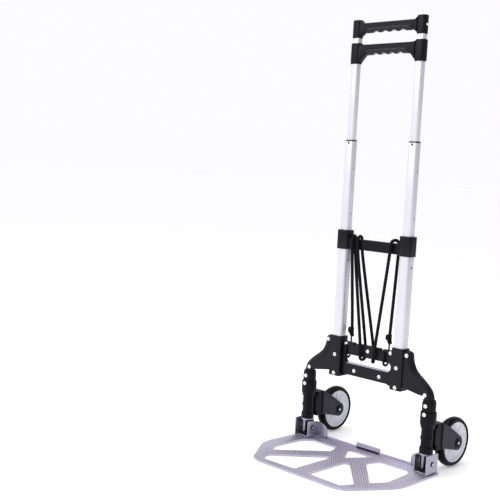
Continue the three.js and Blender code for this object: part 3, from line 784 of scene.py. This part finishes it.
def make_cross_frame():
    """The bar between the brackets, with the carry slot through it and two notches in its top."""
    low, high = node_box("cross_frame")
    bottom = low.z + 4
    notch_floor = high.z - 7
    outline = [(low.x, low.z), (low.x + 9, low.z + 1), (low.x + 16, bottom), (high.x - 16, bottom)]
    outline += [(high.x - 9, low.z + 1), (high.x, low.z), (high.x, high.z)]
    for x in (NOTCH_X, -NOTCH_X):
        outline += [(x + 4, high.z), (x + 3, notch_floor), (x - 3, notch_floor), (x - 4, high.z)]
    outline.append((low.x, high.z))
    rounded = round_corners(outline, 2.2, 4)
    body = slab("carry_frame", "Y", rounded, low.y, high.y, 1.6, [round_corners(SLOT, 5, 5)], 4)
    dressed(body, "frame", COATED_STEEL, "coated_steel", "cross_frame")
    # Painted highlight: a light metal strip where the bar's upward top face in the slot catches the light.
    strip = slab("slot_painted_highlight", "Y", SLOT_PAINTED_HIGHLIGHT, low.y + 0.4, high.y - 0.4, 0.3)
    dressed(strip, "frame", YOKE_METAL, "steel")
    make_rivet("frame_head_middle", "frame", (0, low.y, FRAME_MIDDLE_RIVET_Z))
    for side, sign in SIDES:
        for level, (x, z) in (("top", FRAME_TOP_RIVET), ("low", FRAME_LOW_RIVET)):
            make_rivet(f"frame_head_{level}_{side}", "frame", (sign * x, low.y, z))


# ---------------------------------------------------------------- shoulders and legs
SHOULDER_LINE = [(112.5, 267), (112.5, 256), (115.5, 240), (123, 224), (134, 212), (150, 200),
                 (162, 190), (170.5, 180), (LEG_X, 168), (LEG_X, 155), (LEG_X, 142.5)]
SHOULDER_R = 11.5
SHOULDER_DOME = 9.0
SHOULDER_WEB = [(100, 263), (110, 264), (114, 240), (122, 224), (134, 212), (150, 200),
                (162, 190), (168, 180), (162, 175.5), (150, 175.5), (130, 179), (100, 184)]
SHOULDER_RIVETS = ((113, 256.5), (168, 178.5))
LEG_RIVETS_Z = (155.7, 137)
LEG_TUBE_R = 10
LEG_BORE_R = 10.3
SHOULDER_BORE_R = 12.4
SLEEVE_R = 15.5
SLEEVE_TIP_R = 14.6
LOWER_SLEEVE_R = 18
FOOT_SWING = 19.2
FOOT_HALF = 13.0
PIN_HOLE_R = 3.2
FOOT_ROD_R = 4


def shoulder_radius(place, angle, travelled):
    """The tube's top is closed by a dome."""
    near = min(1.0, travelled / SHOULDER_DOME)
    return SHOULDER_R * math.sqrt(max(0.02, 1 - (1 - near) ** 2))


def make_shoulder(side, sign):
    node = f"shoulder_{side}"
    line = [(sign * x, 0, z) for x, z in SHOULDER_LINE]
    path = resampled(catmull_rom(line, 12), 1.6)
    tube = swept("tube", path, shoulder_radius, 32, 50)
    outline = [(sign * x, z) for x, z in round_corners(SHOULDER_WEB, 6, 4)]
    low, high = node_box(node)
    face = min(abs(low.x), abs(high.x))
    parts = []
    for part in (tube, slab("web", "Y", outline, -10, -5, 1.0, steps=3)):
        block = rounded_rect(40, 80, 1, sign * (face - 20), 0, 2)
        parts.append(carve(part, slab("block", "Z", block, 100, 300, 0.1, steps=1), crease=50))
    body = merged(f"shoulder_arm_{side}", parts)
    dressed(body, "frame", COATED_STEEL, "coated_steel", node)
    (top_x, top_z), (low_x, low_z) = SHOULDER_RIVETS
    make_rivet(f"shoulder_top_head_{side}", "frame", (sign * top_x, -SHOULDER_R + 0.1, top_z))
    low_place = (sign * low_x, -SHOULDER_R + 0.2, low_z)
    make_rivet(f"shoulder_head_{side}", "frame", low_place, (f"shoulder_rivet_{side}",))


def make_leg(side, sign):
    """The leg's tube with two sleeves and a collar on it."""
    x = sign * LEG_X
    axis = (x, 0, 0)
    low, high = node_box(f"upper_sleeve_{side}")
    profile = [(SHOULDER_BORE_R, low.z), (SLEEVE_R, low.z), (SLEEVE_R, high.z - 5)]
    profile += [(SLEEVE_TIP_R, high.z - 4.2), (SLEEVE_TIP_R, high.z), (SHOULDER_BORE_R, high.z)]
    sleeve = turned(f"sleeve_top_{side}", "Z", round_corners(profile, 0.9, 3), axis, 48)
    dressed(sleeve, "frame", BLACK_PLASTIC, "black_plastic", f"upper_sleeve_{side}")

    low, high = node_box(f"lower_sleeve_{side}")
    profile = [(LEG_BORE_R, low.z), (SLEEVE_R, low.z), (16.2, low.z + 6), (17.6, low.z + 8)]
    profile += [(LOWER_SLEEVE_R, low.z + 12), (LOWER_SLEEVE_R, high.z), (LEG_BORE_R, high.z)]
    sleeve = turned(f"sleeve_low_{side}", "Z", round_corners(profile, 1.0, 3), axis, 48)
    dressed(sleeve, "frame", BLACK_PLASTIC, "black_plastic", f"lower_sleeve_{side}")

    low, high = node_box(f"leg_collar_{side}")
    profile = [(LEG_BORE_R, low.z), (SLEEVE_R, low.z), (SLEEVE_R, high.z - 3)]
    profile += [(14.2, high.z), (LEG_BORE_R, high.z)]
    ring = turned(f"leg_ring_{side}", "Z", round_corners(profile, 0.9, 3), axis, 48)
    dressed(ring, "frame", BLACK_PLASTIC, "black_plastic", f"leg_collar_{side}")

    low, high = node_box(f"leg_tube_{side}")
    profile = [(0, low.z), (LEG_TUBE_R, low.z), (LEG_TUBE_R, high.z), (0, high.z)]
    core = turned(f"leg_core_{side}", "Z", profile, axis, 40)
    dressed(core, "frame", COATED_STEEL, "coated_steel", f"leg_tube_{side}")
    upper_z, lower_z = LEG_RIVETS_Z
    make_rivet(f"leg_head_upper_{side}", "frame", (x, -SLEEVE_R, upper_z), (f"upper_leg_rivet_{side}",))
    lower_place = (x, 0.1 - LOWER_SLEEVE_R, lower_z)
    make_rivet(f"leg_head_lower_{side}", "frame", lower_place, (f"lower_leg_rivet_{side}",))


def make_foot(side, sign):
    x = sign * LEG_X
    low, high = node_box(f"leg_foot_{side}")
    corner = math.degrees(math.acos(FOOT_HALF / FOOT_SWING))
    outline = [(FOOT_HALF, high.z), (-4.6, high.z), (-4.6, 15.5), (-FOOT_HALF, 15.5)]
    outline += arc(0, HINGE_Z, FOOT_SWING, 180 + corner, 360 - corner, 18)
    bore = arc(0, HINGE_Z, PIN_HOLE_R, 0, 345, 23)
    core = slab(f"foot_core_{side}", "X", outline, low.x, high.x, 0.8, [bore])
    dressed(core, "frame", BLACK_PLASTIC, "black_plastic", f"leg_foot_{side}")
    low, high = node_box(f"foot_clip_{side}")
    rim_r = SLEEVE_R - 0.3
    profile = [(0, high.z - 3.5), (rim_r, high.z - 3.5), (SLEEVE_R, high.z - 3)]
    profile += [(SLEEVE_R, high.z - 0.5), (rim_r, high.z), (0, high.z)]
    washer = turned("washer", "Z", profile, (x, 0, 0), 48)
    profile = [(0, low.z), (FOOT_ROD_R - 0.8, low.z), (FOOT_ROD_R, low.z + 1.5)]
    profile += [(FOOT_ROD_R, high.z - 3), (0, high.z - 3)]
    rod = turned("rod", "Z", profile, (x, low.y + SLEEVE_R - 9, 0), 28)
    clip = merged(f"foot_spring_rod_{side}", [washer, rod])
    dressed(clip, "frame", YOKE_METAL, "steel", f"foot_clip_{side}")


make_cross_frame()
for side, sign in SIDES:
    make_bracket(side)
    make_shoulder(side, sign)
    make_leg(side, sign)
    make_foot(side, sign)


# ---------------------------------------------------------------- toe plate
PLATE_T = 5.0
TREAD_CENTRE = Vector((-780, 845))
TREAD_REACH = (960, 1460)
TREAD_ANGLES = (-61.5, -37.5)
TREAD_RIBS = 104
STEPS_PER_RIB = 8
TREAD_DEPTH = 1.3
TREAD_BOTTOM = 1.5  # inside the border sheet, which makes the underside
PLATE_HALF = [(110, -239), (134, -229), (192, -138), (199, -110), (197, 24)]
SIDE_CELL = [(163, -122), (157, -37), (138, -15.5), (63.5, -16.5), (51, -52), (142, -158)]
FRONT_CELL = [(127, -190), (112, -220), (19, -217), (19, -92), (32, -87.5)]
REAR_CELL = [(37, -5.5), (-37, -5.5), (0, -66.5)]
REAR_LIPS = ((1.0, 9.0, 150), (2.0, 18.0, 35))  # low and high sides, half width


def mirrored(points):
    return [(-x, y) for x, y in reversed(points)]


def tread_sheet():
    """A sheet whose top carries ribs that fan out from TREAD_CENTRE, larger than the plate."""
    count = TREAD_RIBS * STEPS_PER_RIB
    first, last = TREAD_ANGLES
    points = []
    for i in range(count + 1):
        valley = 0.5 + 0.5 * math.cos(2 * math.pi * i / STEPS_PER_RIB)
        height = PLATE_T - TREAD_DEPTH * valley**1.6
        angle = math.radians(first + (last - first) * i / count)
        for reach in TREAD_REACH:
            spot = TREAD_CENTRE + reach * Vector((math.cos(angle), math.sin(angle)))
            points.append((spot.x, spot.y, TREAD_BOTTOM))
            points.append((spot.x, spot.y, height))
    faces = []
    for i in range(count):
        a = 4 * i
        b = a + 4
        faces += [(a + 1, b + 1, b + 3, a + 3), (a, a + 2, b + 2, b)]
        faces += [(a, b, b + 1, a + 1), (a + 2, a + 3, b + 3, b + 2)]
    end = 4 * count
    faces += [(0, 1, 3, 2), (end, end + 2, end + 3, end + 1)]
    return from_lists("tread", points, faces, 50)


def make_toe_plate():
    """The treaded sheet on a smooth rounded border, with a low lip along its rear and a higher tab."""
    outline = round_corners(PLATE_HALF + mirrored(PLATE_HALF), 7, 7)
    holes = [round_corners(REAR_CELL, 5, 5)]
    for cell in (SIDE_CELL, FRONT_CELL):
        holes += [round_corners(cell, 5.5, 6), round_corners(mirrored(cell), 5.5, 6)]
    cutter = slab("outline", "Z", outline, -4, 12, 0.2, holes, 1)
    tread = carve(tread_sheet(), cutter, how="INTERSECT", crease=30)
    rear = PLATE_HALF[-1][1]
    edge = []
    for low_z, high_z, half in REAR_LIPS:
        shape = [(-half, low_z), (half, low_z), (half, high_z), (-half, high_z)]
        edge.append(slab("edge", "Y", round_corners(shape, 4, 5), rear - 3, rear, 0.9))
    border = slab("border", "Z", outline, 0, 2.2, 0.8, holes, 2)
    sheet = merged("toe_plate_sheet", [tread, border, *edge])
    dressed(sheet, "toe_plate", PLATE_METAL, "plate_metal", "toe_plate")


def make_pin(name, body, centre, sizes, node):
    """A bright pin along X whose two ends stand in dark washers.

    Its sizes are the radii of its shaft, its bright ends and its washers, then how far the
    washers' inner faces and its own ends lie from its middle.
    """
    shaft_r, stud, head_r, face, end = sizes
    half = [(0, end), (0.75 * stud, end), (stud, end - 0.5), (stud, face), (shaft_r, face)]
    profile = half + [(r, -t) for r, t in reversed(half)]
    dressed(turned(name, "X", profile, centre, 28), body, BRIGHT_STEEL, "steel", node)
    ring = [(stud + 0.1, face), (head_r - 0.4, face), (head_r, face + 0.4), (head_r, end - 1.1)]
    ring += [(head_r - 0.4, end - 0.6), (stud + 0.5, end - 0.6), (stud + 0.1, end - 1.0)]
    washers = [turned("washer", "X", [(r, way * t) for r, t in ring], centre, 32) for way in (-1, 1)]
    dressed(merged(f"{name}_washers", washers), body, COATED_STEEL, "steel")


YOKE_FLOOR = PLATE_T + 0.3
YOKE_REAR = 20.7
YOKE_INSIDE = 16.3
YOKE_OUTSIDE = 19
YOKE_FLANGE_Y = 18
OUTER_EAR = [(-23, YOKE_FLOOR), (YOKE_REAR, YOKE_FLOOR), (YOKE_REAR, 49), (-23, 49)]
INNER_EAR = [(-17, YOKE_FLOOR), (YOKE_REAR, YOKE_FLOOR), (YOKE_REAR, 40), (-17, 45)]
FLANGE = [(16.5, YOKE_FLOOR), (16.5, 40), (35, 37.5), (49, 29), (51, 16), (51, YOKE_FLOOR)]
YOKE_BASE = (18.9, 15)
YOKE_BASE_TOP = 7.5
HINGE_PIN = (3, 3.9, 5.5, 19.3, 21.3)  # sizes as make_pin takes them


def make_yoke(side, sign):
    """Two ears round the foot, the flange behind them and the strip that joins them on the plate."""
    x = sign * LEG_X
    hole = arc(0, HINGE_Z, PIN_HOLE_R, 0, 345, 23)
    parts = []
    for shape, way in ((OUTER_EAR, sign), (INNER_EAR, -sign)):
        near, far = sorted((x + way * YOKE_INSIDE, x + way * YOKE_OUTSIDE))
        parts.append(slab("ear", "X", round_corners(shape, 3, 6), near, far, 0.7, [hole]))
    flange = [(x - sign * reach, z) for reach, z in round_corners(FLANGE, 5, 5)]
    parts.append(slab("flange", "Y", flange, YOKE_FLANGE_Y, YOKE_REAR, 0.7))
    wide, deep = YOKE_BASE
    base = [(x - wide, -deep), (x + wide, -deep), (x + wide, deep), (x - wide, deep)]
    parts.append(slab("base", "Z", base, YOKE_FLOOR, YOKE_BASE_TOP, 0.4))
    yoke = merged(f"hinge_bracket_{side}", parts)
    dressed(yoke, "toe_plate", YOKE_METAL, "plate_metal", f"hinge_yoke_{side}")
    make_pin(f"hinge_screw_{side}", "toe_plate", (x, 0, HINGE_Z), HINGE_PIN, f"hinge_pin_{side}")


make_toe_plate()
for side, sign in SIDES:
    make_yoke(side, sign)


# ---------------------------------------------------------------- wheels and forks
BOSS_R = 17.0
RELIEF_R = 10.5
AXLE_HOLE_R = 4.4
BEARING_R = 9.0
AXLE_PIN = (4, 3.1, 7, 16.8, 19.2)  # sizes as make_pin takes them
HUB = [(LEG_BORE_R, 64.4), (13.3, 64.4), (13.3, 79), (15, 80.5), (15, 85), (13.5, 86.5), (13.5, 105),
       (LEG_BORE_R, 105)]
FORK_BLOCK = [(11, 67), (17, 66), (17, 53), (45, 53), (45, 113), (18.5, 113), (18.5, 105), (11, 105)]
FORK_BLOCK_HALF = 14.5
FORK_ARM = (13.5, 16.2)  # inner and outer faces of an arm's sheet, from the leg's axis
FORK_RIDGE = (15.5, 17)  # and of the ridge round the arm's edge
FORK_BOSS = [(4.4, 15.5), (11.4, 15.5), (11.4, 17.2), (10.6, 17.6), (9.0, 17.6), (8.2, 16.6), (4.4, 16.6)]
RIM_HALF = [(9.4, -12.6), (14.0, -12.6), (15.2, -11.6), (17.5, -6.2), (24, -5.4), (38, -6.0),
            (42.5, -8.6), (44, -10.2), (46.3, -10.2)]
SPOKES = 10
SPOKE_LINE = ((15.5, 6.6), (26, 5.6), (38, 6.2), (43, 8.4))
SPOKE_R = 1.1
TYRE_EDGE = [(46.6, 10.8), (49.5, 11.6), (52.5, 11.4)]
TYRE_CROWN = (50.6, 6.4, 10.34)  # radius of the crown's centre, its height and its half width


def make_fork(side, sign):
    """The hub that swings on the leg, and the two arms that carry the wheel."""
    x = sign * LEG_X
    body = f"fork_{side}"
    core = [turned("hub", "Z", round_corners(HUB, 0.8, 3), (x, 0, 0), 48)]
    block = round_corners(FORK_BLOCK, 2.0, 3)
    core.append(slab("block", "X", block, x - FORK_BLOCK_HALF, x + FORK_BLOCK_HALF, 1.6, steps=4))
    parts = []
    arm = [(38, 112), (38, 54), (46, 54), (71, 47.5)]
    arm += arc(WHEEL_Y, WHEEL_Z, BOSS_R, 250, 425, 26) + [(67, 99.5), (50, 108)]
    relief = [(50, 101), (50, 62), (72, 54)]
    relief += arc(WHEEL_Y, WHEEL_Z, RELIEF_R, 245, 430, 20) + [(66, 93), (56, 99)]
    hole = arc(WHEEL_Y, WHEEL_Z, AXLE_HOLE_R, 0, 345, 23)
    for end in (-1, 1):
        near, far = sorted(x + end * reach for reach in FORK_ARM)
        parts.append(slab("arm", "X", arm, near, far, 0.6, [hole]))
        near, far = sorted(x + end * reach for reach in FORK_RIDGE)
        parts.append(slab("ridge", "X", arm, near, far, 0.6, [relief]))
        ring = [(r, end * t) for r, t in FORK_BOSS]
        core.append(turned("boss", "X", ring, (x, WHEEL_Y, WHEEL_Z), 36))
    dressed(merged(f"fork_hub_{side}", core), body, BLACK_PLASTIC, "fork_plastic")
    # The arms take the lighter charcoal, painted light for their lit sides; the hub stays black.
    dressed(merged(f"fork_body_{side}", parts), body, FORK_ARM_PAINTED_LIGHT, "fork_plastic", f"wheel_fork_{side}")

    make_pin(f"axle_bolt_{side}", body, (x, WHEEL_Y, WHEEL_Z), AXLE_PIN, f"axle_{side}")


def make_wheel(side, sign):
    """The tyre, the spoked disc inside it and the bearing in the disc."""
    centre = Vector((sign * LEG_X, WHEEL_Y, WHEEL_Z))
    body = f"wheel_{side}"
    crown_r, crown_height, crown_half = TYRE_CROWN
    profile = [(r, -t) for r, t in TYRE_EDGE]
    for degrees in range(-72, 73, 12):
        turn = math.radians(degrees)
        profile.append((crown_r + crown_height * math.cos(turn), crown_half * math.sin(turn)))
    profile += reversed(TYRE_EDGE)
    tyre = turned(f"tyre_ring_{side}", "X", profile, centre, 96)
    dressed(tyre, body, TYRE_RUBBER, "tyre", f"tyre_{side}")

    profile = RIM_HALF + [(r, -t) for r, t in reversed(RIM_HALF)]
    disc = [turned("disc", "X", round_corners(profile, 0.8, 3), centre, 96)]
    for i in range(SPOKES):
        angle = 2 * math.pi * (i + 0.5) / SPOKES
        for face in (-1, 1):
            path = []
            for reach, out in SPOKE_LINE:
                path.append(centre + Vector((face * out, reach * math.cos(angle), reach * math.sin(angle))))
            disc.append(swept("spoke", catmull_rom(path, 3), SPOKE_R, 8))
    dressed(merged(f"wheel_disc_{side}", disc), body, RIM_PLASTIC, "rim_plastic", f"rim_{side}")

    profile = [(AXLE_HOLE_R, -12.5), (BEARING_R - 0.1, -12.5), (BEARING_R, -12.3)]
    profile += [(BEARING_R, 12.3), (BEARING_R - 0.1, 12.5), (AXLE_HOLE_R, 12.5)]
    bearing = turned(f"wheel_bearing_{side}", "X", profile, centre, 36)
    dressed(bearing, body, BRIGHT_STEEL, "steel", f"bearing_{side}")


for side, sign in SIDES:
    make_fork(side, sign)
    make_wheel(side, sign)
    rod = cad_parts[f"release_rod_{side}"]
    rod.data.materials.clear()
    rod.data.materials.append(BRIGHT_STEEL)


# ---------------------------------------------------------------- floor and light
FLOOR_REACH = 40
FLOOR_DROP = 0.0004  # keeps the floor from lying in one plane with the plate's underside
FLOOR_GLOW = 0.30
WORLD_COLOUR = (0.975, 0.965, 1.0, 1)
WORLD_STRENGTH = (1.0, 0.35)  # from the -X side to the +X side
LIGHTS = (
    ("key", (-1.2, -2.8, 2.0), (0, 0, 0.5), 1.6, 30),
    ("top", (0.2, -0.2, 3.2), (0, 0, 0.3), 2.2, 30),
)


def make_floor():
    look = Look("floor", (0.92, 0.92, 0.93), 0.8)
    look.mottled(look.noise(0.6), (0.90, 0.90, 0.91), 0.5)
    look.shader.inputs["Emission Color"].default_value = (1, 1, 1, 1)
    look.shader.inputs["Emission Strength"].default_value = FLOOR_GLOW
    corners = [(-1, -1), (1, -1), (1, 1), (-1, 1)]
    mesh = bpy.data.meshes.new("floor")
    mesh.from_pydata([(x * FLOOR_REACH, y * FLOOR_REACH, 0) for x, y in corners], [], [(0, 1, 2, 3)])
    mesh.materials.append(look.material)
    floor = bpy.data.objects.new("floor", mesh)
    floor.location.z = -FLOOR_DROP
    bpy.context.scene.collection.objects.link(floor)


def make_light(name, place, target, size, power):
    data = bpy.data.lights.new(name, "AREA")
    data.size = size
    data.energy = power
    light = bpy.data.objects.new(name, data)
    light.location = place
    light.rotation_euler = (Vector(target) - Vector(place)).to_track_quat("-Z", "Y").to_euler()
    bpy.context.scene.collection.objects.link(light)


def make_world():
    """A pale studio whose +X side is dimmer, so that the truck's faces differ in shade."""
    world = bpy.data.worlds.new("studio")
    world.use_nodes = True
    nodes = world.node_tree.nodes
    links = world.node_tree.links
    direction = nodes.new("ShaderNodeTexCoord").outputs["Generated"]
    split = nodes.new("ShaderNodeSeparateXYZ")
    ramp = nodes.new("ShaderNodeMapRange")
    ramp.inputs["From Min"].default_value = -0.3
    ramp.inputs["From Max"].default_value = 0.6
    ramp.inputs["To Min"].default_value = WORLD_STRENGTH[0]
    ramp.inputs["To Max"].default_value = WORLD_STRENGTH[1]
    links.new(direction, split.inputs["Vector"])
    links.new(split.outputs["X"], ramp.inputs["Value"])
    links.new(ramp.outputs["Result"], nodes["Background"].inputs["Strength"])
    nodes["Background"].inputs["Color"].default_value = WORLD_COLOUR
    bpy.context.scene.world = world
    bpy.context.scene.view_settings.view_transform = "Standard"


make_floor()
make_world()
for settings in LIGHTS:
    make_light(*settings)
